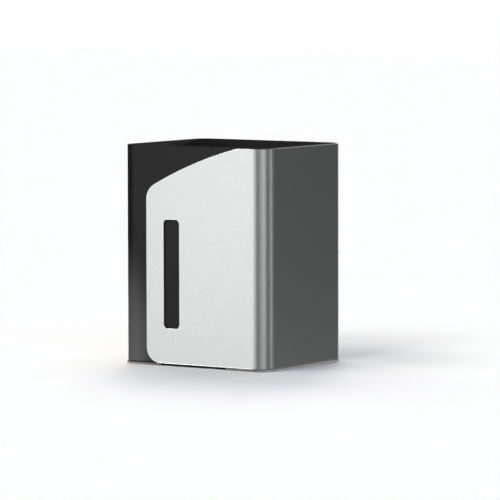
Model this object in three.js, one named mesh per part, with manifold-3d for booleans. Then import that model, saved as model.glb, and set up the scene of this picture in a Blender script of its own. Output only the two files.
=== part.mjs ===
// Desk pen cup: a bent sheet-steel sleeve with a floor pan, a silver cover sheet bonded round
// two of its sides, and a thin non-slip pad under it.
// Millimetres, +Z up. X runs left to right along the front, and the front faces -Y.
// The origin is the middle of the pad's underside.

import * as THREE from "three";
import { mergeVertices, toCreasedNormals } from "three/addons/utils/BufferGeometryUtils.js";
import Module from "manifold-3d";

const manifold = await Module();
manifold.setup();

// Sleeve
const BODY_WIDTH = 80;
const BODY_DEPTH = 65;
const SLEEVE_HEIGHT = 101;
const BODY_CORNER_R = 6.8;
const SLEEVE_SHEET = 0.8;
const SLEEVE_EDGE_ROUND = 0.25;
const SEAM_WIDTH = 0.8;
const SEAM_DEPTH = 0.25;

// Floor pan
const FLOOR_SHEET = 0.6;
const FLOOR_FIT = 0.1; // clearance between the pan's flange and the sleeve
const FLOOR_FLANGE_HEIGHT = 5;
const FLOOR_BEND_R = 1.6; // outside of the bend

// Cover sheet
const COVER_SHEET = 0.6;
const COVER_EDGE_ROUND = 0.2;
const BOND_GAP = 0.2; // room for the bonding strips between sleeve and cover
const COVER_LEFT_MARGIN = 14.2; // bare sleeve to the left of the cover
const COVER_TOP_DROP = 0.2; // cover's top edge below the rim
const COVER_FOOT_GAP = 0.1; // cover's foot above the pad
const COVER_RETURN_LENGTH = 6; // flat part of the return on the back
const COVER_FOOT_R = 7.2;
const SHOULDER_R = 8; // between the left edge and the sweep
const SWEEP_R = 200;
const SWEEP_START_HEIGHT = 80.6; // where the sweep would meet the left edge, above the cover's foot
const SWEEP_END_INSET = 7.9; // where it would meet the top edge, left of the front bend
const SWEEP_END_R = 20; // between the sweep and the top edge

// Slot window in the cover
const SLOT_WIDTH = 8.5;
const SLOT_HEIGHT = 50.4;
const SLOT_LEFT_MARGIN = 9.95;
const SLOT_FOOT_MARGIN = 16.4;
const SLOT_CORNER_R = 2.2;

// Bonding strips behind the cover
const STRIP_WIDTH = 6;
const STRIP_THICKNESS = 0.16;
const STRIP_END_MARGIN = 10; // from the strip's end to the cover's edge
const STRIP_SIDE_MARGIN = 4; // from the strip's side to a slot or a bend
const STRIP_CORNER_R = 1;
const RETURN_STRIP_MARGIN = 1;

// Base pad and its adhesive film
const PAD_THICKNESS = 0.9;
const PAD_PROUD = 0.4; // past the bare sleeve on the left
const PAD_EDGE_ROUND = 0.15;
const FILM_THICKNESS = 0.1;
const FILM_INSET = 1.5;
const NOTCH_WIDTH = 37;
const NOTCH_DEPTH = 6;
const NOTCH_CORNER_R = 2.5;

// Facets
const CURVE_STEPS = 6; // an arc gets twice as many chords
const BEND_STEPS = 4;
const EDGE_STEPS = 2;
const CREASE_ANGLE = Math.PI / 5;
const WELD_TOLERANCE = 1e-4;

// Places that the pieces share
const STAND_OFF = BOND_GAP + COVER_SHEET; // outside of the cover, from the sleeve's outside
const SLEEVE_FOOT_Z = PAD_THICKNESS + FILM_THICKNESS;
const SLEEVE_TOP_Z = SLEEVE_FOOT_Z + SLEEVE_HEIGHT;
const HALF_WIDTH = BODY_WIDTH / 2;
const HALF_DEPTH = BODY_DEPTH / 2;
const BEND_X = HALF_WIDTH - BODY_CORNER_R; // where both right corners start to bend
const BEND_Y = HALF_DEPTH - BODY_CORNER_R;
const COVER_LEFT_X = -HALF_WIDTH + COVER_LEFT_MARGIN;
const COVER_FOOT_Z = SLEEVE_FOOT_Z + COVER_FOOT_GAP;
const COVER_TOP_Z = SLEEVE_TOP_Z - COVER_TOP_DROP;
const SLOT_X = COVER_LEFT_X + SLOT_LEFT_MARGIN + SLOT_WIDTH / 2;
const SLOT_Z = COVER_FOOT_Z + SLOT_FOOT_MARGIN + SLOT_HEIGHT / 2;

const QUARTER_TURN = Math.PI / 2;

const finishes = {
  charcoalCoat: new THREE.MeshStandardMaterial({ color: 0x2e2f31, roughness: 0.6, metalness: 0.1 }),
  blackCoat: new THREE.MeshStandardMaterial({ color: 0x1b1c1e, roughness: 0.7, metalness: 0.1 }),
  satinSilver: new THREE.MeshStandardMaterial({ color: 0xc9cbcc, roughness: 0.38, metalness: 1 }),
  greyFoam: new THREE.MeshStandardMaterial({ color: 0x9a9792, roughness: 0.95, metalness: 0 }),
  tape: new THREE.MeshStandardMaterial({ color: 0x6f7276, roughness: 0.8, metalness: 0 }),
};

// The corner arcs and sides of a rounded rectangle about (x, y), counter-clockwise
function addRoundedRectangle(path, x, y, width, height, radius) {
  const right = x + width / 2 - radius;
  const left = x - width / 2 + radius;
  const top = y + height / 2 - radius;
  const bottom = y - height / 2 + radius;
  path.absarc(right, bottom, radius, -QUARTER_TURN, 0);
  path.absarc(right, top, radius, 0, QUARTER_TURN);
  path.absarc(left, top, radius, QUARTER_TURN, 2 * QUARTER_TURN);
  path.absarc(left, bottom, radius, 2 * QUARTER_TURN, 3 * QUARTER_TURN);
  path.closePath();
  return path;
}

// The points of a path's lines and arcs, without the one that two neighbours share
function pointsOf(path) {
  const points = path.getPoints(CURVE_STEPS);
  return points.filter((point, i) => {
    const next = points[(i + 1) % points.length];
    return point.distanceTo(next) > WELD_TOLERANCE;
  });
}

// A flat shape given a thickness, with its edges rounded; it fills z = 0 to thickness
function sheetFrom(shape, thickness, edgeRound = 0) {
  const outline = new THREE.Shape(pointsOf(shape));
  outline.holes = shape.holes.map((hole) => new THREE.Path(pointsOf(hole)));
  const geometry = new THREE.ExtrudeGeometry(outline, {
    depth: thickness - 2 * edgeRound,
    bevelEnabled: edgeRound > 0,
    bevelThickness: edgeRound,
    bevelSize: edgeRound,
    bevelOffset: -edgeRound,
    bevelSegments: EDGE_STEPS,
  });
  return geometry.translate(0, 0, edgeRound);
}

// A closed three.js geometry as a manifold solid
function solidFrom(geometry) {
  const bare = geometry.clone();
  bare.deleteAttribute("normal");
  bare.deleteAttribute("uv");
  const welded = mergeVertices(bare, WELD_TOLERANCE);
  const snapped = welded.attributes.position.array.map(
    (value) => Math.round(value / WELD_TOLERANCE) * WELD_TOLERANCE,
  );
  const mesh = new manifold.Mesh({
    numProp: 3,
    vertProperties: snapped,
    triVerts: new Uint32Array(welded.index.array),
  });
  return new manifold.Manifold(mesh);
}

function geometryFrom(solid) {
  const mesh = solid.getMesh();
  const geometry = new THREE.BufferGeometry();
  geometry.setAttribute("position", new THREE.BufferAttribute(mesh.vertProperties, mesh.numProp));
  geometry.setIndex(new THREE.BufferAttribute(mesh.triVerts, 1));
  return toCreasedNormals(geometry, CREASE_ANGLE);
}

function addPiece(parent, name, geometry, finish) {
  const piece = new THREE.Mesh(geometry, finish);
  piece.name = name;
  parent.add(piece);
  return piece;
}

// The sleeve in plan: a rounded rectangle with a shallow vee in the middle of the back, where the
// two ends of the bent sheet are welded edge to edge
function sleeveShape() {
  const shape = new THREE.Shape();
  shape.absarc(BEND_X, -BEND_Y, BODY_CORNER_R, -QUARTER_TURN, 0);
  shape.absarc(BEND_X, BEND_Y, BODY_CORNER_R, 0, QUARTER_TURN);
  shape.lineTo(SEAM_WIDTH / 2, HALF_DEPTH);
  shape.lineTo(0, HALF_DEPTH - SEAM_DEPTH);
  shape.lineTo(-SEAM_WIDTH / 2, HALF_DEPTH);
  shape.absarc(-BEND_X, BEND_Y, BODY_CORNER_R, QUARTER_TURN, 2 * QUARTER_TURN);
  shape.absarc(-BEND_X, -BEND_Y, BODY_CORNER_R, 2 * QUARTER_TURN, 3 * QUARTER_TURN);
  shape.closePath();
  const inside = addRoundedRectangle(
    new THREE.Path(),
    0,
    0,
    BODY_WIDTH - 2 * SLEEVE_SHEET,
    BODY_DEPTH - 2 * SLEEVE_SHEET,
    BODY_CORNER_R - SLEEVE_SHEET,
  );
  shape.holes.push(inside);
  return shape;
}

function addCupBody(parent) {
  const geometry = sheetFrom(sleeveShape(), SLEEVE_HEIGHT, SLEEVE_EDGE_ROUND);
  addPiece(parent, "cup_body", geometry, finishes.charcoalCoat).position.z = SLEEVE_FOOT_Z;
}

// One level of a lofted rounded rectangle: the pan's outline moved in by inset, at height z
function panRing(inset, z) {
  const reach = SLEEVE_SHEET + FLOOR_FIT + inset;
  const outline = addRoundedRectangle(
    new THREE.Path(),
    0,
    0,
    BODY_WIDTH - 2 * reach,
    BODY_DEPTH - 2 * reach,
    BODY_CORNER_R - reach,
  );
  return pointsOf(outline).map((point) => new THREE.Vector3(point.x, point.y, z));
}

// The pan's wall in section, from under the floor, round the bend, up the flange, over its edge
// and back down to the top of the floor
function panRings() {
  const rings = [];
  const innerBendR = FLOOR_BEND_R - FLOOR_SHEET;
  const bend = (radius, step) => {
    const angle = (QUARTER_TURN * step) / BEND_STEPS;
    const inset = FLOOR_BEND_R - radius * Math.sin(angle);
    return panRing(inset, FLOOR_BEND_R - radius * Math.cos(angle));
  };
  for (let step = 0; step <= BEND_STEPS; step++) rings.push(bend(FLOOR_BEND_R, step));
  rings.push(panRing(0, FLOOR_FLANGE_HEIGHT));
  rings.push(panRing(FLOOR_SHEET, FLOOR_FLANGE_HEIGHT));
  for (let step = BEND_STEPS; step >= 0; step--) rings.push(bend(innerBendR, step));
  return rings;
}

// Rings of equal length joined in order, with the first and the last closed by flat caps
function loftGeometry(rings) {
  const count = rings[0].length;
  const index = [];
  for (let level = 0; level < rings.length - 1; level++) {
    for (let i = 0; i < count; i++) {
      const next = (i + 1) % count;
      const low = level * count;
      const high = low + count;
      index.push(low + i, low + next, high + next, low + i, high + next, high + i);
    }
  }
  const lastStart = (rings.length - 1) * count;
  for (let i = 1; i < count - 1; i++) {
    index.push(0, i + 1, i);
    index.push(lastStart, lastStart + i, lastStart + i + 1);
  }
  const geometry = new THREE.BufferGeometry().setFromPoints(rings.flat());
  geometry.setIndex(index);
  return toCreasedNormals(geometry, CREASE_ANGLE);
}

function addFloorPan(parent) {
  const pan = addPiece(parent, "floor_pan", loftGeometry(panRings()), finishes.blackCoat);
  pan.position.z = SLEEVE_FOOT_Z;
}

// Centre of the large arc that sweeps from the cover's left edge up to its top edge
function sweepCentre() {
  const start = new THREE.Vector2(COVER_LEFT_X, COVER_FOOT_Z + SWEEP_START_HEIGHT);
  const end = new THREE.Vector2(BEND_X - SWEEP_END_INSET, COVER_TOP_Z);
  const chord = end.clone().sub(start);
  const toCentre = Math.sqrt(SWEEP_R ** 2 - chord.lengthSq() / 4);
  const down = new THREE.Vector2(chord.y, -chord.x).normalize();
  return start.add(end).multiplyScalar(0.5).addScaledVector(down, toCentre);
}

function sweepHeightAt(x) {
  const centre = sweepCentre();
  return Math.min(COVER_TOP_Z, centre.y + Math.sqrt(SWEEP_R ** 2 - (x - centre.x) ** 2));
}

// The front panel seen from the front, in x and z: clockwise from the foot of the bend
function frontPanelShape() {
  const sweep = sweepCentre();
  const shoulder = new THREE.Vector2(COVER_LEFT_X + SHOULDER_R, 0);
  const shoulderReach = SWEEP_R - SHOULDER_R;
  shoulder.y = sweep.y + Math.sqrt(shoulderReach ** 2 - (shoulder.x - sweep.x) ** 2);
  const end = new THREE.Vector2(0, COVER_TOP_Z - SWEEP_END_R);
  const endReach = SWEEP_R - SWEEP_END_R;
  end.x = sweep.x - Math.sqrt(endReach ** 2 - (end.y - sweep.y) ** 2);
  const shoulderAngle = shoulder.clone().sub(sweep).angle();
  const endAngle = end.clone().sub(sweep).angle();
  const footX = COVER_LEFT_X + COVER_FOOT_R;
  const footZ = COVER_FOOT_Z + COVER_FOOT_R;

  const shape = new THREE.Shape();
  shape.moveTo(BEND_X, COVER_FOOT_Z);
  shape.lineTo(footX, COVER_FOOT_Z);
  shape.absarc(footX, footZ, COVER_FOOT_R, -QUARTER_TURN, -2 * QUARTER_TURN, true);
  shape.absarc(shoulder.x, shoulder.y, SHOULDER_R, 2 * QUARTER_TURN, shoulderAngle, true);
  shape.absarc(sweep.x, sweep.y, SWEEP_R, shoulderAngle, endAngle, true);
  shape.absarc(end.x, end.y, SWEEP_END_R, endAngle, QUARTER_TURN, true);
  shape.lineTo(BEND_X, COVER_TOP_Z);
  shape.closePath();
  shape.holes.push(
    addRoundedRectangle(new THREE.Path(), SLOT_X, SLOT_Z, SLOT_WIDTH, SLOT_HEIGHT, SLOT_CORNER_R),
  );
  return shape;
}

// The rest of the cover in plan: round the front right corner, along the side, round the back
// right corner and a short way onto the back. It laps into the front panel, which it continues.
function wrapShape() {
  const lap = BODY_CORNER_R / 2;
  const outerR = BODY_CORNER_R + STAND_OFF;
  const innerR = BODY_CORNER_R + BOND_GAP;
  const returnX = BEND_X - COVER_RETURN_LENGTH;
  const shape = new THREE.Shape();
  shape.moveTo(BEND_X - lap, -HALF_DEPTH - STAND_OFF);
  shape.lineTo(BEND_X, -HALF_DEPTH - STAND_OFF);
  shape.absarc(BEND_X, -BEND_Y, outerR, -QUARTER_TURN, 0);
  shape.absarc(BEND_X, BEND_Y, outerR, 0, QUARTER_TURN);
  shape.lineTo(returnX, HALF_DEPTH + STAND_OFF);
  shape.lineTo(returnX, HALF_DEPTH + BOND_GAP);
  shape.absarc(BEND_X, BEND_Y, innerR, QUARTER_TURN, 0, true);
  shape.absarc(BEND_X, -BEND_Y, innerR, 0, -QUARTER_TURN, true);
  shape.lineTo(BEND_X - lap, -HALF_DEPTH - BOND_GAP);
  shape.closePath();
  return shape;
}

function addCoverPlate(parent) {
  const front = sheetFrom(frontPanelShape(), COVER_SHEET, COVER_EDGE_ROUND);
  front.rotateX(QUARTER_TURN).translate(0, -HALF_DEPTH - BOND_GAP, 0);
  const wrap = sheetFrom(wrapShape(), COVER_TOP_Z - COVER_FOOT_Z, COVER_EDGE_ROUND);
  wrap.translate(0, 0, COVER_FOOT_Z);
  const bent = solidFrom(front).add(solidFrom(wrap));
  addPiece(parent, "cover_plate", geometryFrom(bent), finishes.satinSilver);
}

// A group whose local x runs to the right along one side of the sleeve, as seen from outside,
// whose local y is up, and whose local z points outwards from the sleeve's axis
function sideGroup(parent, turn) {
  const turned = new THREE.Group();
  turned.rotation.z = turn;
  const upright = new THREE.Group();
  upright.rotation.x = QUARTER_TURN;
  parent.add(turned);
  turned.add(upright);
  return upright;
}

function addStrip(side, name, x, width, coverTop, sleeveFace) {
  const foot = COVER_FOOT_Z + STRIP_END_MARGIN;
  const top = coverTop - STRIP_END_MARGIN;
  const outline = addRoundedRectangle(new THREE.Shape(), 0, 0, width, top - foot, STRIP_CORNER_R);
  const strip = addPiece(side, name, sheetFrom(outline, STRIP_THICKNESS), finishes.tape);
  const clearance = (BOND_GAP - STRIP_THICKNESS) / 2;
  strip.position.set(x, (foot + top) / 2, sleeveFace + clearance);
}

function addBondingStrips(parent) {
  const reach = STRIP_SIDE_MARGIN + STRIP_WIDTH / 2;
  const front = sideGroup(parent, 0);
  const frontPlaces = {
    front_tape_left: COVER_LEFT_X + SLOT_LEFT_MARGIN / 2,
    front_tape_middle: SLOT_X + SLOT_WIDTH / 2 + reach,
    front_tape_right: BEND_X - reach,
  };
  for (const [name, x] of Object.entries(frontPlaces)) {
    addStrip(front, name, x, STRIP_WIDTH, sweepHeightAt(x - STRIP_WIDTH / 2), HALF_DEPTH);
  }

  const right = sideGroup(parent, QUARTER_TURN);
  const sidePlaces = { side_tape_front: reach - BEND_Y, side_tape_rear: BEND_Y - reach };
  for (const [name, x] of Object.entries(sidePlaces)) {
    addStrip(right, name, x, STRIP_WIDTH, COVER_TOP_Z, HALF_WIDTH);
  }

  const back = sideGroup(parent, 2 * QUARTER_TURN);
  const returnWidth = COVER_RETURN_LENGTH - 2 * RETURN_STRIP_MARGIN;
  const returnX = COVER_RETURN_LENGTH / 2 - BEND_X;
  addStrip(back, "return_tape", returnX, returnWidth, COVER_TOP_Z, HALF_DEPTH);
}

// The pad in plan, moved in by inset: flush with the cover's faces in front, on the right and at
// the back, a little proud of the bare sleeve on the left, with a notch in its front edge
function padShape(inset) {
  const left = -HALF_WIDTH - PAD_PROUD + inset;
  const right = HALF_WIDTH + STAND_OFF - inset;
  const front = -HALF_DEPTH - STAND_OFF + inset;
  const back = HALF_DEPTH + STAND_OFF - inset;
  const radius = BODY_CORNER_R + PAD_PROUD - inset;
  const notchX = (left + right) / 2;
  const notchHalf = NOTCH_WIDTH / 2 + inset;
  const notchEnd = -HALF_DEPTH - STAND_OFF + NOTCH_DEPTH + inset;
  const r = NOTCH_CORNER_R;
  const shape = new THREE.Shape();
  shape.moveTo(left + radius, front);
  shape.lineTo(notchX - notchHalf, front);
  shape.absarc(notchX - notchHalf + r, notchEnd - r, r, 2 * QUARTER_TURN, QUARTER_TURN, true);
  shape.absarc(notchX + notchHalf - r, notchEnd - r, r, QUARTER_TURN, 0, true);
  shape.lineTo(notchX + notchHalf, front);
  shape.absarc(right - radius, front + radius, radius, -QUARTER_TURN, 0);
  shape.absarc(right - radius, back - radius, radius, 0, QUARTER_TURN);
  shape.absarc(left + radius, back - radius, radius, QUARTER_TURN, 2 * QUARTER_TURN);
  shape.absarc(left + radius, front + radius, radius, 2 * QUARTER_TURN, 3 * QUARTER_TURN);
  return shape;
}

function addBase(parent) {
  addPiece(parent, "base_pad", sheetFrom(padShape(0), PAD_THICKNESS, PAD_EDGE_ROUND), finishes.greyFoam);
  const film = sheetFrom(padShape(FILM_INSET), FILM_THICKNESS);
  addPiece(parent, "base_film", film, finishes.tape).position.z = PAD_THICKNESS;
}

const penCup = new THREE.Group();
// The sleeve's axis lies a little left of the pad's middle, because the left side has no cover
penCup.position.x = (PAD_PROUD - STAND_OFF) / 2;
addCupBody(penCup);
addFloorPan(penCup);
addCoverPlate(penCup);
addBondingStrips(penCup);
addBase(penCup);

export default penCup;
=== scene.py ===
# %% [markdown]
# A desk pen cup in bent sheet metal
#
# The cup is a charcoal powder-coated sleeve, bent from one strip of sheet steel, with a pressed floor
# pan welded into its foot. A silver sheet is bonded over its front, its right side and a little of its
# back, and a thin foam pad under it keeps it from sliding. Sheet metal has three things that a plain
# box lacks: an even wall, bends with a real radius, and cut edges that catch the light. This lesson
# makes the finishes first, then the pieces with those three things, and last the studio around them.
#
# The fixed frame holds every piece at its real size. It is loaded first, so that each new mesh can
# take its place and its reach from the piece that it stands for. The new meshes could be scaled to
# fit at the end instead, but that would change their wall thicknesses.

# %% Load the fixed frame
import math

import bmesh
import bpy
from mathutils import Matrix, Vector


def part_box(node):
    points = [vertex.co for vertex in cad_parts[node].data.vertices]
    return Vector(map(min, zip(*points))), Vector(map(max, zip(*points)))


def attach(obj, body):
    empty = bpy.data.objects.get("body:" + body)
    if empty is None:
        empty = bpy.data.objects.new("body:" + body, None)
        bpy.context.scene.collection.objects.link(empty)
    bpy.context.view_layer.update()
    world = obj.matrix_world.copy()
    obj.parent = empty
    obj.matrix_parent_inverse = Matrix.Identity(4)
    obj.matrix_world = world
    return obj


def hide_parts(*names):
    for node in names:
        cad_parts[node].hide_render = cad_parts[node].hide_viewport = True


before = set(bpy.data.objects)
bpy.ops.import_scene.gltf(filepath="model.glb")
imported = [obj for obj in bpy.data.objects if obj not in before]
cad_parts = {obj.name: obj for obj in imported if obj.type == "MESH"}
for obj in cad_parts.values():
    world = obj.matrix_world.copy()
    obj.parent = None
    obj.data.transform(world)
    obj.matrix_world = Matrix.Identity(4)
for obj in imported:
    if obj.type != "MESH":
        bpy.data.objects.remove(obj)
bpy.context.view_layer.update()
scene = bpy.context.scene
print("pieces in the frame:", ", ".join(sorted(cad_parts)))

# %% [markdown]
# The camera
#
# The photograph was taken from far away with a long lens, from the right of the front, a little
# higher than the rim and looking slightly down. A long lens keeps the vertical edges almost parallel,
# which is how product pictures are taken. The camera could be aimed with a Track To constraint, but
# its turn, tilt and roll are known here, so three plain rotations are clearer: roll about the lens
# first, then tilt up from straight down, then turn about the vertical. The Standard view transform
# shows colours as they are, so that white stays white.

# %% Place the camera
CAMERA_PLACE = Vector((1.07285, -1.58143, 0.20258))
CAMERA_TURN = math.radians(33.9143)
CAMERA_TILT = math.radians(4.4987)
CAMERA_ROLL = math.radians(-0.1132)
LENS_MM = 295.95
SENSOR_MM = 36

camera_data = bpy.data.cameras.new("camera")
camera_data.lens = LENS_MM
camera_data.sensor_width = SENSOR_MM
camera = bpy.data.objects.new("camera", camera_data)
camera.matrix_world = (
    Matrix.Translation(CAMERA_PLACE)
    @ Matrix.Rotation(CAMERA_TURN, 4, "Z")
    @ Matrix.Rotation(math.pi / 2 - CAMERA_TILT, 4, "X")
    @ Matrix.Rotation(CAMERA_ROLL, 4, "Z")
)
scene.collection.objects.link(camera)
scene.camera = camera
scene.view_settings.view_transform = "Standard"
print(f"camera stands {CAMERA_PLACE.length:.2f} m from the cup")

# %% [markdown]
# Sizes read from the frame
#
# A designer keeps a few driving sizes and works the rest out. The outer sizes below come from the
# frame's boxes, so they can't drift from it. Only what a box can't tell is written down, such as sheet
# thicknesses, bend radii and the roundness of cut edges. Blender works in metres, so sizes in
# millimetres are multiplied by one named value.

# %% Read the sizes
MM = 0.001
BODY_CORNER_R = 6.8 * MM
SLEEVE_SHEET = 0.8 * MM
SLEEVE_EDGE_ROUND = 0.25 * MM
COVER_SHEET = 0.6 * MM
COVER_EDGE_ROUND = 0.22 * MM

sleeve_low, sleeve_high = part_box("cup_body")
pan_low, pan_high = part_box("floor_pan")
cover_low, cover_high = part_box("cover_plate")
pad_low, pad_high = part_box("base_pad")

sleeve_half = (sleeve_high - sleeve_low) / 2
axis_x = (sleeve_low.x + sleeve_high.x) / 2
bend_half_x = sleeve_half.x - BODY_CORNER_R
bend_half_y = sleeve_half.y - BODY_CORNER_R

sleeve_size = (sleeve_high - sleeve_low) / MM
print(f"sleeve {sleeve_size.x:.1f} x {sleeve_size.y:.1f} x {sleeve_size.z:.1f} mm")

# %% [markdown]
# Helpers for arcs and meshes
#
# Each outline here is made of lines and arcs. One function gives the points of an arc, and a rounded
# rectangle is four such arcs. Ready-made circles and bevelled boxes would also do, but they hide the
# radii, and these pieces have to nest inside each other with even gaps.

# %% Arcs and rounded rectangles
QUARTER = math.pi / 2
CORNER_STEPS = 24


def arc(centre_x, centre_y, radius, start, end, steps=CORNER_STEPS):
    """Points along an arc, both ends included."""
    angles = [start + (end - start) * i / steps for i in range(steps + 1)]
    return [(centre_x + radius * math.cos(a), centre_y + radius * math.sin(a)) for a in angles]


def rounded_rectangle(centre_x, centre_y, half_x, half_y, radius, steps=CORNER_STEPS):
    """Four corner arcs, counter-clockwise from the lower right corner."""
    corners = ((1, -1, -1), (1, 1, 0), (-1, 1, 1), (-1, -1, 2))
    points = []
    for side_x, side_y, turn in corners:
        x = centre_x + side_x * (half_x - radius)
        y = centre_y + side_y * (half_y - radius)
        points += arc(x, y, radius, turn * QUARTER, (turn + 1) * QUARTER, steps)
    return points


corner_points = len(arc(0, 0, BODY_CORNER_R, 0, QUARTER))
print(f"each corner of the sleeve, {BODY_CORNER_R / MM:.1f} mm in radius, takes {corner_points} points")

# %% [markdown]
# A piece needs the same few steps each time: a smooth shaded object, its finish, the body it rides on
# and the piece of the frame that it stands for. Weighted normals let the large flat faces decide the
# shading, so a flat wall stays flat right up to its bend, as on real sheet metal. Averaged normals
# would make the walls look puffed up beside each bend.

# %% Turn a mesh into a finished piece
LARGEST_FACES_DECIDE = 100  # the strongest weight that the modifier can give them


def add_piece(name, mesh, material, node):
    """Shades the mesh smoothly, dresses it and puts it in the place of its piece of the frame."""
    mesh.shade_smooth()
    mesh.materials.clear()
    mesh.materials.append(material)
    piece = bpy.data.objects.new(name, mesh)
    scene.collection.objects.link(piece)
    weighted = piece.modifiers.new("flat_faces_lead", "WEIGHTED_NORMAL")
    weighted.weight = LARGEST_FACES_DECIDE
    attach(piece, "root")
    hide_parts(node)
    print(f"{name}: {len(mesh.vertices)} vertices, {len(mesh.polygons)} faces")
    return piece


# %% [markdown]
# Finishes
#
# A finish is more than a colour. Under a lens, powder coat is a field of soft bumps, blasted and
# anodised metal is a field of tiny pits, and foam has cut-open pores. Each finish below starts from
# object coordinates, which are metres, so the grain has a real size and runs on round the bends. An
# image texture could carry the same grain, but it would need unwrapping and would show its edges.

# %% A shader and its grain
def shader_of(material):
    """The Principled shader of a material."""
    return material.node_tree.nodes["Principled BSDF"]


def new_finish(name, roughness, metallic=0.0, specular=0.5):
    """A material with a Principled shader, and its uniform values set on the shader itself."""
    material = bpy.data.materials.new(name)
    material.use_nodes = True
    sockets = shader_of(material).inputs
    sockets["Roughness"].default_value = roughness
    sockets["Metallic"].default_value = metallic
    sockets["Specular IOR Level"].default_value = specular
    return material


def add_pattern(material, kind, size):
    """A procedural texture in object coordinates, with features of about that size."""
    place = material.node_tree.nodes.new("ShaderNodeTexCoord")
    pattern = material.node_tree.nodes.new(kind)
    pattern.inputs["Scale"].default_value = 1 / size
    material.node_tree.links.new(place.outputs["Object"], pattern.inputs["Vector"])
    return pattern


def add_grain(material, size, detail=2.0):
    """Noise with lumps of about that size. Returns its output, which runs from 0 to 1."""
    noise = add_pattern(material, "ShaderNodeTexNoise", size)
    noise.inputs["Detail"].default_value = detail
    return noise.outputs["Fac"]


print(f"noise cells of 1 mm need a scale of {1 / MM:.0f}, because the coordinates are metres")

# %% [markdown]
# The same grain then drives three things, as on the real surface: a lump takes a little more or less
# colour, shines a little more or less, and stands a little higher. One noise could be plugged
# straight into all three sockets, but each needs its own narrow span, so each has its own helper.

# %% Let the grain vary colour, gloss and height
GRAIN_LOW, GRAIN_HIGH = 0.3, 0.7


def vary_color(material, factor, dark, light):
    """Runs the base colour from dark to light. The shader's own value is the middle of the two."""
    nodes, links = material.node_tree.nodes, material.node_tree.links
    color = shader_of(material).inputs["Base Color"]
    middle = (Vector(dark) + Vector(light)) / 2
    color.default_value = (*middle, 1)
    ramp = nodes.new("ShaderNodeValToRGB")
    ends = ((GRAIN_LOW, dark), (GRAIN_HIGH, light))
    for element, (position, end_color) in zip(ramp.color_ramp.elements, ends):
        element.position = position
        element.color = (*end_color, 1)
    links.new(factor, ramp.inputs["Fac"])
    links.new(ramp.outputs["Color"], color)


def vary_roughness(material, factor, spread):
    """Runs the roughness from spread below the shader's own value to spread above it."""
    nodes, links = material.node_tree.nodes, material.node_tree.links
    roughness = shader_of(material).inputs["Roughness"]
    span = nodes.new("ShaderNodeMapRange")
    span.inputs["From Min"].default_value = GRAIN_LOW
    span.inputs["From Max"].default_value = GRAIN_HIGH
    span.inputs["To Min"].default_value = roughness.default_value - spread
    span.inputs["To Max"].default_value = roughness.default_value + spread
    links.new(factor, span.inputs["Value"])
    links.new(span.outputs["Result"], roughness)


def add_bump(material, height, depth):
    """Raises the surface by up to depth where height is high."""
    nodes, links = material.node_tree.nodes, material.node_tree.links
    bump = nodes.new("ShaderNodeBump")
    bump.inputs["Distance"].default_value = depth
    links.new(height, bump.inputs["Height"])
    links.new(bump.outputs["Normal"], shader_of(material).inputs["Normal"])


print(f"each span is run through while the noise goes from {GRAIN_LOW} to {GRAIN_HIGH}")

# %% [markdown]
# Satin silver
#
# The cover is blasted with fine glass beads and then anodised. That leaves a metal that mirrors only
# large, soft shapes: the bend shows the lights as soft stripes, and the flat front shows one even
# tone. So it is a full metal with a middling roughness, a grain that is just visible, and a very
# shallow pitting. Anisotropy would suit a brushed sheet, but blasting leaves no direction. The blast
# hardly touches the cut edges, which are tumbled smooth. They get a second version with a lower
# roughness, which picks up a light as a thin bright line.

# %% Satin silver and its cut edges
def blasted_silver(name, roughness, spread, pit_depth):
    """Bead-blasted, anodised aluminium, whose roughness strays from its middle by spread."""
    material = new_finish(name, roughness, metallic=1.0)
    pits = add_grain(material, 0.5 * MM, detail=3)
    vary_color(material, pits, dark=(0.73, 0.739, 0.743), light=(0.845, 0.85, 0.85))
    vary_roughness(material, add_grain(material, 1.6 * MM), spread)
    add_bump(material, pits, pit_depth)
    return material


silver = blasted_silver("blasted_silver", roughness=0.37, spread=0.02, pit_depth=0.008 * MM)
bright_edge = blasted_silver("tumbled_edge", roughness=0.17, spread=0.03, pit_depth=0.002 * MM)
print("silver finishes:", silver.name, "and", bright_edge.name)

# %% [markdown]
# Powder coats
#
# Powder coat is paint that melts on the metal. It is slightly lumpy like orange peel, and dark coats
# look almost black where nothing bright is mirrored. A clear layer over a flat dark colour could make
# it too, but that looks like wet lacquer. Here the lumps of the charcoal coat are ten times as deep as
# the pits of the silver, and they soften what it mirrors. The pan inside has a plainer, matt black
# coat.

# %% Powder coats
def charcoal_coat():
    """The sleeve's coat: nearly black and half glossy, with deep lumps."""
    material = new_finish("charcoal_powder", roughness=0.38, specular=0.31)
    lumps = add_grain(material, 0.5 * MM, detail=3)
    vary_color(material, lumps, dark=(0.0045, 0.0045, 0.0045), light=(0.0105, 0.0105, 0.0105))
    vary_roughness(material, lumps, spread=0.08)
    add_bump(material, lumps, depth=0.08 * MM)
    return material


def black_coat():
    """The pan's coat: matt, with shallow lumps."""
    material = new_finish("black_powder", roughness=0.62, specular=0.3)
    lumps = add_grain(material, 0.6 * MM, detail=4)
    vary_color(material, lumps, dark=(0.022, 0.022, 0.023), light=(0.038, 0.038, 0.039))
    add_bump(material, lumps, depth=0.03 * MM)
    return material


charcoal = charcoal_coat()
black = black_coat()
print("powder coats:", charcoal.name, "and", black.name)

# %% [markdown]
# Foam and tape
#
# The pad is die-cut from closed-cell foam sheet, a warm grey, with small pores where the cells are
# cut. Modelled pores would be truer, but the pad is under a millimetre high. So Voronoi cells make
# them in relief, and noise tints the sheet a little. The strips behind the cover and the film over the
# pad are double-sided tape: they hardly show, but they are there when the cup is turned over or taken
# apart.

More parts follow.
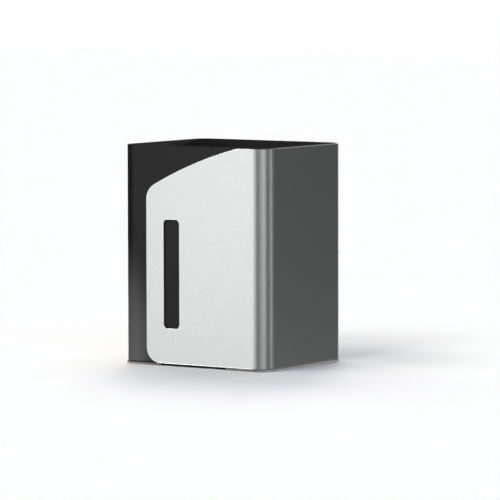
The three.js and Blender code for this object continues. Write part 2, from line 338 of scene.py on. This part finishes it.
# %% Foam and tape
def grey_foam():
    """The pad's foam: quite matt, with a pore in the middle of each cell."""
    material = new_finish("grey_foam", roughness=0.95, specular=0.2)
    pores = add_pattern(material, "ShaderNodeTexVoronoi", 0.45 * MM)
    tint = add_grain(material, 3 * MM, detail=4)
    vary_color(material, tint, dark=(0.23, 0.213, 0.2), light=(0.29, 0.272, 0.255))
    add_bump(material, pores.outputs["Distance"], depth=0.08 * MM)
    return material


def bonding_tape():
    """The strips and the film: a thin carrier, cloudy with the glue on it."""
    material = new_finish("double_sided_tape", roughness=0.7, specular=0.35)
    glue = add_grain(material, 1.2 * MM, detail=5)
    vary_color(material, glue, dark=(0.14, 0.15, 0.16), light=(0.19, 0.20, 0.21))
    add_bump(material, glue, depth=0.02 * MM)
    return material


foam = grey_foam()
tape = bonding_tape()
print("soft finishes:", foam.name, "and", tape.name)

# %% [markdown]
# Lofting bent sheet
#
# The sleeve and the pan are both a plan outline carried along a section: the sleeve's section is a
# tall thin bar with rounded ends, and the pan's is an L with a bend. A curve with a bevel object
# could sweep the section round the plan. Stacked rings do the same and also let the seam be pressed
# in, so each point of the section becomes one ring: the plan moved in by some inset, at some height.

# %% Plan outline and loft
SEAM_WIDTH = 0.8 * MM
SEAM_DEPTH = 0.25 * MM
SEAM_STEPS = 8


def seam_points(y, depth):
    """The weld's shallow groove across the middle of the back, from right to left."""
    points = []
    for i in range(SEAM_STEPS + 1):
        across = 1 - 2 * i / SEAM_STEPS
        drop = depth * (1 - abs(across))
        points.append((axis_x + across * SEAM_WIDTH / 2, y - drop))
    return points


def plan(inset, seam_depth=0.0):
    """The sleeve's outline in plan, moved in by inset, counter-clockwise."""
    half_x, half_y = sleeve_half.x - inset, sleeve_half.y - inset
    outline = rounded_rectangle(axis_x, 0, half_x, half_y, BODY_CORNER_R - inset)
    half = len(outline) // 2
    return outline[:half] + seam_points(half_y, seam_depth) + outline[half:]


def loft(name, rings, closed):
    """Joins rings of equal length in order. Ends are capped, or joined if the section is closed."""
    mesh = bpy.data.meshes.new(name)
    shape = bmesh.new()
    loops = [[shape.verts.new(point) for point in ring] for ring in rings]
    count = len(loops[0])
    pairs = list(zip(loops, loops[1:])) + ([(loops[-1], loops[0])] if closed else [])
    for low, high in pairs:
        for i in range(count):
            j = (i + 1) % count
            shape.faces.new((low[i], low[j], high[j], high[i]))
    if not closed:
        shape.faces.new(list(reversed(loops[0])))
        shape.faces.new(loops[-1])
    bmesh.ops.recalc_face_normals(shape, faces=shape.faces)
    shape.to_mesh(mesh)
    shape.free()
    return mesh


print("points in one ring of the sleeve:", len(plan(0)))

# %% [markdown]
# The sleeve
#
# The section of the sleeve's wall runs up the outside, over the rim, down the inside and back under
# the foot. Each edge gets a quarter round, because a sheared edge is tumbled smooth before coating,
# and the round is what draws the thin light line along the rim. A Bevel modifier could round the edges
# afterwards, but it would also find the seam. The weld in the middle of the back is a shallow groove
# in the outer rings only.

# %% Make the sleeve
EDGE_STEPS = 4


def sleeve_section():
    """(inset, height) pairs round the wall's section, starting at the outside of the foot."""
    r, low, high = SLEEVE_EDGE_ROUND, sleeve_low.z, sleeve_high.z
    inner = SLEEVE_SHEET - r
    section = arc(r, low + r, r, 3 * QUARTER, 2 * QUARTER, EDGE_STEPS)
    section += arc(r, high - r, r, 2 * QUARTER, QUARTER, EDGE_STEPS)
    section += arc(inner, high - r, r, QUARTER, 0, EDGE_STEPS)
    section += arc(inner, low + r, r, 0, -QUARTER, EDGE_STEPS)
    return section


def sleeve_rings():
    """One ring for each point of the section, with the seam in those of the outer face."""
    rings = []
    for inset, height in sleeve_section():
        seam = SEAM_DEPTH if inset < SLEEVE_SHEET / 2 else 0
        rings.append([(x, y, height) for x, y in plan(inset, seam)])
    return rings


sleeve_mesh = loft("sleeve", sleeve_rings(), closed=True)
sleeve = add_piece("sleeve", sleeve_mesh, charcoal, "cup_body")

# %% [markdown]
# The floor pan
#
# The pan is pressed from one sheet: a flat floor, a bend and a short flange that is spot-welded to
# the sleeve. Its section goes from under the floor, round the outside of the bend, up the flange,
# over its edge, down the inside and onto the floor again. The two flat ends are closed with one face
# each. Solidify could thicken a plain sheet, but it would leave the edge of the flange square.

# %% Make the floor pan
PAN_SHEET = 0.6 * MM
PAN_BEND_R = 1.6 * MM
PAN_BEND_STEPS = 8
PAN_EDGE_ROUND = 0.2 * MM
PAN_INSET = pan_low.y - sleeve_low.y


def pan_section():
    """(inset, height) pairs, starting under the floor."""
    low, high, r = pan_low.z, pan_high.z, PAN_EDGE_ROUND
    bend_inset, bend_z = PAN_BEND_R, low + PAN_BEND_R
    section = arc(bend_inset, bend_z, PAN_BEND_R, 3 * QUARTER, 2 * QUARTER, PAN_BEND_STEPS)
    section += arc(r, high - r, r, 2 * QUARTER, QUARTER, EDGE_STEPS)
    section += arc(PAN_SHEET - r, high - r, r, QUARTER, 0, EDGE_STEPS)
    inside_r = PAN_BEND_R - PAN_SHEET
    section += arc(bend_inset, bend_z, inside_r, 2 * QUARTER, 3 * QUARTER, PAN_BEND_STEPS)
    return section


def pan_rings():
    """One ring for each point of the section."""
    return [[(x, y, height) for x, y in plan(PAN_INSET + inset)] for inset, height in pan_section()]


pan_mesh = loft("pan", pan_rings(), closed=False)
pan = add_piece("pan", pan_mesh, black, "floor_pan")

# %% [markdown]
# Cutting flat blanks
#
# The cover and the pad are cut from flat sheet. In Blender a filled 2D curve is the closest thing to
# a cut blank: one spline is the outline, a second one inside it is a hole, Extrude gives it the
# sheet's thickness, and a small bevel rounds every cut edge, the hole's too. A negative offset pulls
# the outline in by as much as the bevel pushes it out, so the blank keeps its true size. A boolean
# cut in a bevelled box would leave the slot's edges sharp.

# %% Cut a blank from sheet
EDGE_FACETS = 3
WELD_REACH = 0.001 * MM  # points of the curve's faces and edges that lie closer become one


def sheet_curve(name, outlines, thickness, edge_round):
    """A filled curve as thick as the sheet: the first outline is its edge, the others are holes."""
    curve = bpy.data.curves.new(name, "CURVE")
    curve.dimensions = "2D"
    curve.fill_mode = "BOTH"
    curve.extrude = thickness / 2 - edge_round
    curve.bevel_depth = edge_round
    curve.bevel_resolution = EDGE_FACETS - 1
    curve.offset = -edge_round
    for outline in outlines:
        spline = curve.splines.new("POLY")
        spline.points.add(len(outline) - 1)
        for point, (x, y) in zip(spline.points, outline):
            point.co = (x, y, 0, 1)
        spline.use_cyclic_u = True
    return curve


def cut_blank(name, outlines, thickness, edge_round):
    """A flat sheet in x and y with rounded cut edges; its middle plane is z = 0."""
    holder = bpy.data.objects.new(name, sheet_curve(name, outlines, thickness, edge_round))
    mesh = bpy.data.meshes.new_from_object(holder)
    bpy.data.objects.remove(holder)
    shape = bmesh.new()
    shape.from_mesh(mesh)
    bmesh.ops.remove_doubles(shape, verts=shape.verts, dist=WELD_REACH)
    bmesh.ops.recalc_face_normals(shape, faces=shape.faces)
    shape.to_mesh(mesh)
    shape.free()
    print(f"{name} blank: {len(outlines[0])} points round it, {len(outlines) - 1} holes")
    return mesh


print(f"a blank's cut edges turn in {EDGE_FACETS} facets")

# %% [markdown]
# The cover as a flat sheet
#
# Before it is bent, the cover is one flat sheet: its front, a quarter turn, its side, another quarter
# turn and a short return on the back. A bend squeezes the inside of a sheet and stretches its outside,
# so lengths are true along the middle only, and the turns are measured at the middle's radius. Each
# run below is a place along that middle line. On the front a run is simply x, and the same runs later
# tell where the sheet starts to curve. The flat length could be unfolded from a bent mesh instead, but
# worked out like this it follows when a size changes.

# %% Measure the flat cover
RETURN_LENGTH = 6 * MM

cover_mid = cover_high.y - sleeve_half.y - COVER_SHEET / 2
neutral_r = BODY_CORNER_R + cover_mid
bend_run = neutral_r * QUARTER
bend_x = axis_x + bend_half_x
side_run = bend_x + bend_run
rear_bend_run = side_run + 2 * bend_half_y
back_run = rear_bend_run + bend_run
end_run = back_run + RETURN_LENGTH

blank_length = (end_run - cover_low.x) / MM
blank_height = (cover_high.z - cover_low.z) / MM
print(f"the cover is cut {blank_length:.1f} mm long and {blank_height:.1f} mm high")

# %% [markdown]
# The cover's outline
#
# Seen flat, the cover is a long rectangle with one shaped end. Its left edge rises from a rounded
# lower corner, turns over a shoulder into one large arc of 200 mm radius, and eases through a smaller
# arc into the straight top edge. Where two arcs meet smoothly, their centres lie in line with the
# touching point, so each small arc's centre is at the large radius less the small one from the large
# arc's centre. That gives every centre from a few driving sizes. A curve bent by hand through many
# points would hardly be as smooth.

# %% Draw the cover's outline
FOOT_R = 7.2 * MM
SHOULDER_R = 8 * MM
SWEEP_R = 200 * MM
SWEEP_START_HEIGHT = 80.6 * MM
SWEEP_END_INSET = 7.9 * MM
SWEEP_END_R = 20 * MM
SWEEP_STEPS = 60


def sweep_centre():
    """Centre of the large arc, from its two ends."""
    start = Vector((cover_low.x, cover_low.z + SWEEP_START_HEIGHT))
    end = Vector((bend_x - SWEEP_END_INSET, cover_high.z))
    chord = end - start
    to_centre = math.sqrt(SWEEP_R**2 - chord.length_squared / 4)
    return (start + end) / 2 + to_centre * Vector((chord.y, -chord.x)).normalized()


def other_leg(small_radius, leg):
    """Between the large arc's centre and a small one's: one of x and y, where leg is the other."""
    reach = SWEEP_R - small_radius
    return math.sqrt(reach**2 - leg**2)


def cover_outline():
    """The whole blank, clockwise from the foot of its far end; x is the run along the sheet."""
    left, low, high = cover_low.x, cover_low.z, cover_high.z
    sweep = sweep_centre()
    shoulder_x = left + SHOULDER_R
    shoulder = Vector((shoulder_x, sweep.y + other_leg(SHOULDER_R, shoulder_x - sweep.x)))
    end_y = high - SWEEP_END_R
    end = Vector((sweep.x - other_leg(SWEEP_END_R, end_y - sweep.y), end_y))
    shoulder_turn = math.atan2(shoulder.y - sweep.y, shoulder.x - sweep.x)
    end_turn = math.atan2(end.y - sweep.y, end.x - sweep.x)
    points = [(end_run, low)]
    points += arc(left + FOOT_R, low + FOOT_R, FOOT_R, -QUARTER, -2 * QUARTER)
    points += arc(*shoulder, SHOULDER_R, 2 * QUARTER, shoulder_turn)
    points += arc(*sweep, SWEEP_R, shoulder_turn, end_turn, SWEEP_STEPS)[1:]
    points += arc(*end, SWEEP_END_R, end_turn, QUARTER)[1:]
    points.append((end_run, high))
    return points


centre_mm = sweep_centre() / MM
print(f"the large arc turns about x {centre_mm.x:.1f} mm, z {centre_mm.y:.1f} mm")

# %% [markdown]
# The slot window
#
# A tall window with round corners is punched through the front of the cover, so that a strip of the
# charcoal sleeve shows in the silver. A boolean cut after bending could make it, but its edges would
# come out sharp. Here the window is a second outline in the same blank: the curve's fill leaves it
# open, and the bevel rounds its edge as it rounds the outer one.

# %% Draw the slot window and cut the blank
SLOT_WIDTH = 8.5 * MM
SLOT_HEIGHT = 50.4 * MM
SLOT_LEFT_MARGIN = 9.95 * MM
SLOT_FOOT_MARGIN = 16.4 * MM
SLOT_CORNER_R = 2.2 * MM
SLOT_CORNER_STEPS = 12


def slot_outline():
    """The window in the flat sheet, counter-clockwise."""
    x = cover_low.x + SLOT_LEFT_MARGIN + SLOT_WIDTH / 2
    y = cover_low.z + SLOT_FOOT_MARGIN + SLOT_HEIGHT / 2
    return rounded_rectangle(x, y, SLOT_WIDTH / 2, SLOT_HEIGHT / 2, SLOT_CORNER_R, SLOT_CORNER_STEPS)


cover_mesh = cut_blank("cover", [cover_outline(), slot_outline()], COVER_SHEET, COVER_EDGE_ROUND)
print(f"the window is {SLOT_WIDTH / MM:.1f} x {SLOT_HEIGHT / MM:.1f} mm")

# %% [markdown]
# Slicing the blank
#
# A mesh can only bend where it has edges, and the long faces of the filled curve have few where they
# are needed. Subdividing them all would cut the flat parts up too. Cutting planes across the sheet add
# edges only where it will curve. The faces of the cut edges are also picked out now, because on a flat
# sheet they are easy to tell: they are the ones that don't look straight up or down.

# %% Slice the blank where it will curve
BEND_SLICES = 30
SLICE_REACH = 0.0001 * MM  # a point this close to a cutting plane is taken as lying on it
FLAT_NORMAL = 0.99  # a face that looks less straight up or down than this is part of a cut edge


def slice_at(mesh, runs):
    """Cuts the flat mesh across at each run, without taking anything away."""
    shape = bmesh.new()
    shape.from_mesh(mesh)
    for run in runs:
        everything = shape.verts[:] + shape.edges[:] + shape.faces[:]
        bmesh.ops.bisect_plane(
            shape, geom=everything, plane_co=(run, 0, 0), plane_no=(1, 0, 0), dist=SLICE_REACH
        )
    shape.to_mesh(mesh)
    shape.free()


bend_runs = [
    start + bend_run * i / BEND_SLICES
    for start in (bend_x, rear_bend_run)
    for i in range(BEND_SLICES + 1)
]
slice_at(cover_mesh, bend_runs)
edge_faces = [face.index for face in cover_mesh.polygons if abs(face.normal.z) < FLAT_NORMAL]
print(f"{len(bend_runs)} cuts leave {len(edge_faces)} faces on the cut edges")

# %% [markdown]
# Bending the cover
#
# A press brake bends the blank round the cup's corners. Blender's Simple Deform can bend a mesh too,
# but two bends would take two modifiers with limits and a helper object each, and the radius would
# only follow from an angle and a length. Here each point is carried from its place on the flat sheet
# to its place on the wrapped one, with lengths kept along the middle of the sheet.

# %% Bend the blank round the cup
def wrapped(run, height, offset):
    """Where the point at run, height and offset from the middle of the flat sheet comes to lie."""
    front_y = -sleeve_half.y - cover_mid - offset
    side_x = axis_x + sleeve_half.x + cover_mid + offset
    radius = neutral_r + offset
    if run <= bend_x:
        return run, front_y, height
    if run <= side_run:
        turn = (run - bend_x) / neutral_r - QUARTER
        return bend_x + radius * math.cos(turn), -bend_half_y + radius * math.sin(turn), height
    if run <= rear_bend_run:
        return side_x, -bend_half_y + run - side_run, height
    if run <= back_run:
        turn = (run - rear_bend_run) / neutral_r
        return bend_x + radius * math.cos(turn), bend_half_y + radius * math.sin(turn), height
    return bend_x - (run - back_run), -front_y, height


for vertex in cover_mesh.vertices:
    vertex.co = wrapped(*vertex.co)
farthest = max(vertex.co.x for vertex in cover_mesh.vertices)
print(f"the bent cover ends at x {farthest / MM:.2f} mm, its box at {cover_high.x / MM:.2f} mm")

# %% [markdown]
# Dressing the cover
#
# One mesh can carry two finishes, as each face names the material slot that it is dressed from. The
# faces look satin, and the cut edges that were picked out before the bend get the brighter finish. A
# wear mask from the mesh's sharpness could find the edges too, but it would also find the bends.

# %% Dress the cover and its cut edges
cover = add_piece("cover", cover_mesh, silver, "cover_plate")
cover_mesh.materials.append(bright_edge)
edge_slot = len(cover_mesh.materials) - 1
for index in edge_faces:
    cover_mesh.polygons[index].material_index = edge_slot
print(f"{len(edge_faces)} faces shine as cut edges")

# %% [markdown]
# The base pad
#
# The pad is a die-cut piece of foam sheet with a shallow notch in the middle of its front edge. A
# boolean could take the notch out of a rounded box, but its edges would be sharp there. So the pad is
# cut in the same way as the cover's blank and stays flat. Foam edges are soft, and its rounding is
# large for its thickness.

# %% Make the base pad
PAD_EDGE_ROUND = 0.3 * MM
PAD_PROUD = sleeve_low.x - pad_low.x
NOTCH_WIDTH = 37 * MM
NOTCH_DEPTH = 6 * MM
NOTCH_CORNER_R = 2.5 * MM
NOTCH_CORNER_STEPS = 8


def pad_outline():
    """The pad in plan with its front notch, counter-clockwise from the notch's left mouth."""
    r, half, end = NOTCH_CORNER_R, NOTCH_WIDTH / 2, pad_low.y + NOTCH_DEPTH
    centre_x = (pad_low.x + pad_high.x) / 2
    corner_r = BODY_CORNER_R + PAD_PROUD
    half_x, half_y = (pad_high.x - pad_low.x) / 2, (pad_high.y - pad_low.y) / 2
    around = rounded_rectangle(centre_x, (pad_low.y + pad_high.y) / 2, half_x, half_y, corner_r)
    notch = [(centre_x - half, pad_low.y)]
    notch += arc(centre_x - half + r, end - r, r, 2 * QUARTER, QUARTER, NOTCH_CORNER_STEPS)
    notch += arc(centre_x + half - r, end - r, r, QUARTER, 0, NOTCH_CORNER_STEPS)
    notch.append((centre_x + half, pad_low.y))
    return notch + around


pad_mesh = cut_blank("pad", [pad_outline()], pad_high.z - pad_low.z, PAD_EDGE_ROUND)
pad_mesh.transform(Matrix.Translation((0, 0, (pad_low.z + pad_high.z) / 2)))
pad = add_piece("pad", pad_mesh, foam, "base_pad")

# %% [markdown]
# Strips and film
#
# The bonding strips and the film over the pad keep the meshes of the frame, because flat tape needs
# no more shape. They only get their finish, put straight into their material slots.

# %% Dress the strips and the film
for name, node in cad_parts.items():
    if "tape" in name or "film" in name:
        node.data.materials.clear()
        node.data.materials.append(tape)
        print("taped:", name)

# %% [markdown]
# The studio
#
# Metal shows its surroundings, so most of its look is made by what stands around it. Nearly every lamp
# here is hung in the direction in which the cup sees it: so many degrees right of the front, and so
# many above the floor. A panel is given its radiance, which is how bright it looks, and a larger panel
# then needs more power. Track To constraints could aim the lamps, but then each would need an empty to
# look at.

# %% Hang a lamp in its direction
WATTS_PER_RADIANCE = math.pi  # power of a square metre of panel for a radiance of one


def direction(turn, tilt=0):
    """Unit vector, turned right of the front and tilted above the floor, both in degrees."""
    turn, tilt = math.radians(turn), math.radians(tilt)
    return Vector((math.sin(turn) * math.cos(tilt), -math.cos(turn) * math.cos(tilt), math.sin(tilt)))


def add_lamp(light, place, target=None):
    """Hangs a lamp at place, shining towards target if it has one."""
    lamp = bpy.data.objects.new(light.name, light)
    lamp.location = place
    if target is not None:
        lamp.rotation_euler = (target - place).to_track_quat("-Z", "Y").to_euler()
    scene.collection.objects.link(lamp)
    return lamp


def light_panel(name, width, height, radiance, place, target):
    """A rectangle of light that shows in reflections, and neither to the lens nor on matt surfaces."""
    light = bpy.data.lights.new(name, "AREA")
    light.shape = "RECTANGLE"
    light.size, light.size_y = width, height
    light.energy = WATTS_PER_RADIANCE * radiance * width * height
    lamp = add_lamp(light, place, target)
    lamp.visible_camera = False
    lamp.visible_diffuse = False
    print(f"{name}: {width / MM:.0f} x {height / MM:.0f} mm, {light.energy:.2f} W")
    return lamp


print("a turn of 90 degrees points along +X:", direction(90))

# %% [markdown]
# Panels for the silver
#
# The bend of the cover is a map of the studio: each direction is mirrored once between the front and
# the side. From left to right it shows the edge of the wide front light, a dark gap, a broad light
# that is dimmer on its left, a dark gap, a narrow light, and then the dark side of the room, which the
# whole right side mirrors. So these lights are tall panels on a circle round the cup. Two faint ones
# stand in for the white floor and lighten the foot of the silver. A ring of glowing boards would look
# the same, but lamps give less noise.

# %% Light panels that only reflections see
PANEL_DISTANCE = 0.6
PANEL_LOW, PANEL_HIGH = -0.108, 0.42
FLOOR_GLOW_LOW = -1.0


def panel(name, start, end, radiance, low=PANEL_LOW, high=PANEL_HIGH):
    """A tall panel that fills the directions from start to end, in degrees right of the front."""
    width = 2 * PANEL_DISTANCE * math.tan(math.radians((end - start) / 2))
    target = Vector((bend_x, -bend_half_y, (low + high) / 2))
    place = target + PANEL_DISTANCE * direction((start + end) / 2)
    return light_panel(name, width, high - low, radiance, place, target)


panel("key_panel", -41, -26, 1.46)
panel("key_wing_left", -49, -41, 0.95)
panel("key_wing_right", -26, -6, 0.80)
panel("broad_panel_dim", 24, 44, 0.41)
panel("broad_panel_bright", 45, 64, 0.79)
panel("narrow_panel", 101.5, 111, 1.0)
panel("corner_glow", 20, 120, 0.045, low=FLOOR_GLOW_LOW, high=PANEL_LOW)
panel("side_glow", 120, 170, 0.195, low=FLOOR_GLOW_LOW, high=PANEL_LOW)

# %% [markdown]
# Edge lights
#
# A cut edge is a fifth of a millimetre round, and it is what makes sheet metal look like sheet metal.
# Photographers light such edges on their own, from directions that the flat faces can't mirror into
# the lens: here from over and from under the cup, in front and to the left. Light linking lets these
# lamps shine on the cover only, so the dark coat beside it stays dark. A glowing material on the
# edges would be simpler, but it would glow from every side, and real edges only catch a light.

# %% Edge lights
EDGE_DISTANCE = 0.5
EDGE_SIZE = 0.12
EDGE_RADIANCE = 8.0


def shine_only_on(lamp, pieces):
    """Links the lamp to the pieces, so that it lights nothing else."""
    lit = bpy.data.collections.new("lit_by_" + lamp.name)
    for piece in pieces:
        lit.objects.link(piece)
    lamp.light_linking.receiver_collection = lit


def edge_light(name, turn, tilt):
    """A small square panel that lights the cover's edges and nothing else."""
    middle = Vector((axis_x, cover_low.y, sleeve_half.z))
    place = middle + EDGE_DISTANCE * direction(turn, tilt)
    shine_only_on(light_panel(name, EDGE_SIZE, EDGE_SIZE, EDGE_RADIANCE, place, middle), [cover])


edge_light("edge_light_over", -50, 41)
edge_light("edge_light_under", -44, -37)

# %% [markdown]
# The far side of the studio
#
# The back and the left of the cup face away from the lens, but someone will walk round it. Without
# anything to mirror they would be flat black. Three panels behind the cup give the coat a soft sheen
# there, and a glossier coat would only mirror the black more sharply. The first panel also draws the
# fine light line down the far bend of the cover. The second stays low, where the left bend of the
# coat can't mirror it into the lens. The third stands where the cover's dark right side would mirror
# it, so it shines on the sleeve only.

# %% Panels behind the cup
REAR_LOW, REAR_HIGH = -0.45, 0.6

panel("rear_panel", 182, 222, 0.8, high=REAR_HIGH)
panel("rear_left_panel", 222, 262, 0.5, low=REAR_LOW, high=PANEL_LOW)
shine_only_on(panel("rear_right_panel", 112, 205, 1.2, high=REAR_HIGH), [sleeve])

# %% [markdown]
# The room
#
# What surrounds the cup shows in three ways. The lens sees pure white, as in a product picture that
# is cut out. The metal and the coat mirror a dim grey room between the panels. Matt surfaces get no
# light from it, because the suns below light them. A Light Path node tells which kind of ray asks, so
# one world can answer all three. A panoramic picture could surround the cup instead, but then no part
# of it could be steered alone.

# %% Surround the cup with a room
ROOM_SEEN = (1.0, 1.0, 1.0, 1)
ROOM_MIRRORED = (0.069, 0.0695, 0.07, 1)
ROOM_AMBIENT = (0.0, 0.0, 0.0, 1)

world = bpy.data.worlds.new("studio")
scene.world = world
world.use_nodes = True
sky, sky_links = world.node_tree.nodes, world.node_tree.links
ray = sky.new("ShaderNodeLightPath")


def backdrop(color):
    """One plain surrounding of the room."""
    shown = sky.new("ShaderNodeBackground")
    shown.inputs["Color"].default_value = color
    return shown.outputs[0]


def choose(ray_kind, otherwise, chosen):
    """Shows chosen to rays of that kind, and otherwise to the rest."""
    mix = sky.new("ShaderNodeMixShader")
    sky_links.new(ray.outputs[ray_kind], mix.inputs[0])
    sky_links.new(otherwise, mix.inputs[1])
    sky_links.new(chosen, mix.inputs[2])
    return mix.outputs[0]


unseen = choose("Is Glossy Ray", backdrop(ROOM_AMBIENT), backdrop(ROOM_MIRRORED))
room = choose("Is Camera Ray", unseen, backdrop(ROOM_SEEN))
sky_links.new(room, sky["World Output"].inputs["Surface"])
print(f"the room is {ROOM_SEEN[1]:.2f} to the lens and {ROOM_MIRRORED[1]:.3f} in reflections")

# %% [markdown]
# Suns for the floor
#
# The shadows in a studio fan out from the foot, one for each large lamp, and where they overlap they
# are darkest. Each sun stands for one such lamp: its turn and tilt give the shadow's direction and
# length, its spread the softness of the edge, its strength the depth, and its tint the bluish or warm
# cast. Area lamps could do the same, but their light falls off over the floor, and the floor has to
# stay even. The suns don't show in reflections, so the silver is left to the panels. The last one
# shines on the pad only, whose right edge is a light line under the dark side of the cover.

# %% Suns for the floor and its shadows
SUN_UNIT = math.pi  # strength of a sun that lights a white floor to one
SUN_SPREAD = math.radians(20)


def sun(name, turn, tilt, strength, color=(1, 1, 1)):
    """A soft distant light, turned right of the front and tilted above the floor, in degrees."""
    light = bpy.data.lights.new(name, "SUN")
    light.energy = strength * SUN_UNIT
    light.angle = SUN_SPREAD
    light.color = color
    lamp = add_lamp(light, direction(turn, tilt), Vector((0, 0, 0)))
    lamp.visible_glossy = False
    print(f"{name}: strength {strength:.3f}")
    return lamp


sun("front_sun", 0, 40, 0.314, (0.99, 1, 0.97))
sun("front_left_sun", -30, 55, 0.228, (1.06, 1, 0.98))
sun("left_front_sun", -60, 55, 0.14, (0.98, 1, 0.98))
sun("left_low_sun", -120, 40, 0.109, (0.94, 1, 0.65))
sun("left_high_sun", -120, 55, 0.069, (1.06, 1, 1.33))
sun("back_left_low_sun", -150, 40, 0.292, (0.98, 1, 0.81))
sun("back_left_high_sun", -150, 55, 0.142, (1.17, 1, 1.2))
sun("back_sun", 180, 55, 0.087, (0.93, 1, 0.82))
sun("back_right_sun", 150, 70, 0.084, (0.9, 1, 1.45))
sun("right_sun", 60, 40, 0.022, (0.1, 1, 1.7))
shine_only_on(sun("pad_sun", 100, 15, 0.95), [pad])

# %% [markdown]
# A glow on the foot
#
# To the left of the cover the coat grows lighter towards the foot, where light comes back from the
# white floor. The floor could throw that light by itself, but then it would also shine into the
# silver and the window. A spot lamp that looks up from below the floor, squeezed to a tall ellipse,
# puts the glow where it belongs, and a full blend lets it fade out upwards. The coat is nearly black
# and needs a strong lamp, so the pad below it has a weak one of its own.

# %% Low spot lamps for the coat and the pad
GLOW_TURN, GLOW_TILT = -12, -45
GLOW_DISTANCE = 0.25
GLOW_AIM = Vector((sleeve_low.x + 0.5 * MM, sleeve_low.y - 3 * MM, 0))
GLOW_HALF_HEIGHT = 34 * MM
GLOW_HALF_WIDTH = 17 * MM
GLOW_LAMP_R = 2 * MM


def foot_glow(name, watts, pieces):
    """A squeezed spot lamp, aimed at the foot of the coat's left strip, that lights pieces only."""
    light = bpy.data.lights.new(name, "SPOT")
    light.energy = watts
    light.spot_size = 2 * math.atan(GLOW_HALF_HEIGHT / GLOW_DISTANCE)
    light.spot_blend = 1.0
    light.shadow_soft_size = GLOW_LAMP_R
    lamp = add_lamp(light, GLOW_AIM + GLOW_DISTANCE * direction(GLOW_TURN, GLOW_TILT), GLOW_AIM)
    lamp.scale.x = GLOW_HALF_WIDTH / GLOW_HALF_HEIGHT
    lamp.visible_glossy = False
    shine_only_on(lamp, pieces)
    print(f"{name}: {watts} W")


foot_glow("coat_glow", 46, [sleeve])
foot_glow("pad_glow", 1.6, [pad])

# %% [markdown]
# A lamp inside the cup
#
# An empty cup swallows light: its walls only mirror each other, and from above it would look like a
# black hole. A paler coat on the inside would help too, but it would show at the rim. Photographers
# lower a small lamp into such a vessel. The lens and the reflections don't see this one, and it is
# linked to the sleeve and the pan, so nothing else is lit by it.

# %% Light the inside
INSIDE_HEIGHT = 70 * MM
INSIDE_WATTS = 0.11
INSIDE_LAMP_R = 10 * MM

inside_light = bpy.data.lights.new("inside_lamp", "POINT")
inside_light.energy = INSIDE_WATTS
inside_light.shadow_soft_size = INSIDE_LAMP_R
inside_lamp = add_lamp(inside_light, Vector((axis_x, 0, INSIDE_HEIGHT)))
inside_lamp.visible_camera = False
inside_lamp.visible_glossy = False
shine_only_on(inside_lamp, [sleeve, pan])
print(f"the lamp hangs {(sleeve_high.z - INSIDE_HEIGHT) / MM:.0f} mm below the rim")

# %% [markdown]
# The floor
#
# The floor is a plain matt white sheet, large enough that its edges never show. A Principled shader
# would do, but a plain diffuse one has no sheen at a low angle, so the shadows keep their tone.
# Reflections don't see it, because the panels reach down below it to light the lower part of the
# silver, and it casts no shadow, so the lamps below it shine through.

# %% Lay the floor
FLOOR_HALF = 4.0
FLOOR_WHITE = (0.9, 0.9, 0.9, 1)

floor_finish = bpy.data.materials.new("white_floor")
floor_finish.use_nodes = True
floor_nodes, floor_links = floor_finish.node_tree.nodes, floor_finish.node_tree.links
floor_nodes.remove(floor_nodes["Principled BSDF"])
matt = floor_nodes.new("ShaderNodeBsdfDiffuse")
matt.inputs["Color"].default_value = FLOOR_WHITE
floor_links.new(matt.outputs["BSDF"], floor_nodes["Material Output"].inputs["Surface"])

floor_mesh = bpy.data.meshes.new("floor")
corners = [(x * FLOOR_HALF, y * FLOOR_HALF, 0) for x, y in ((-1, -1), (1, -1), (1, 1), (-1, 1))]
floor_mesh.from_pydata(corners, [], [(0, 1, 2, 3)])
floor_mesh.materials.append(floor_finish)
floor = bpy.data.objects.new("floor", floor_mesh)
floor.visible_glossy = False
floor.visible_shadow = False
scene.collection.objects.link(floor)
print(f"the floor reaches {FLOOR_HALF:.0f} m to each side")
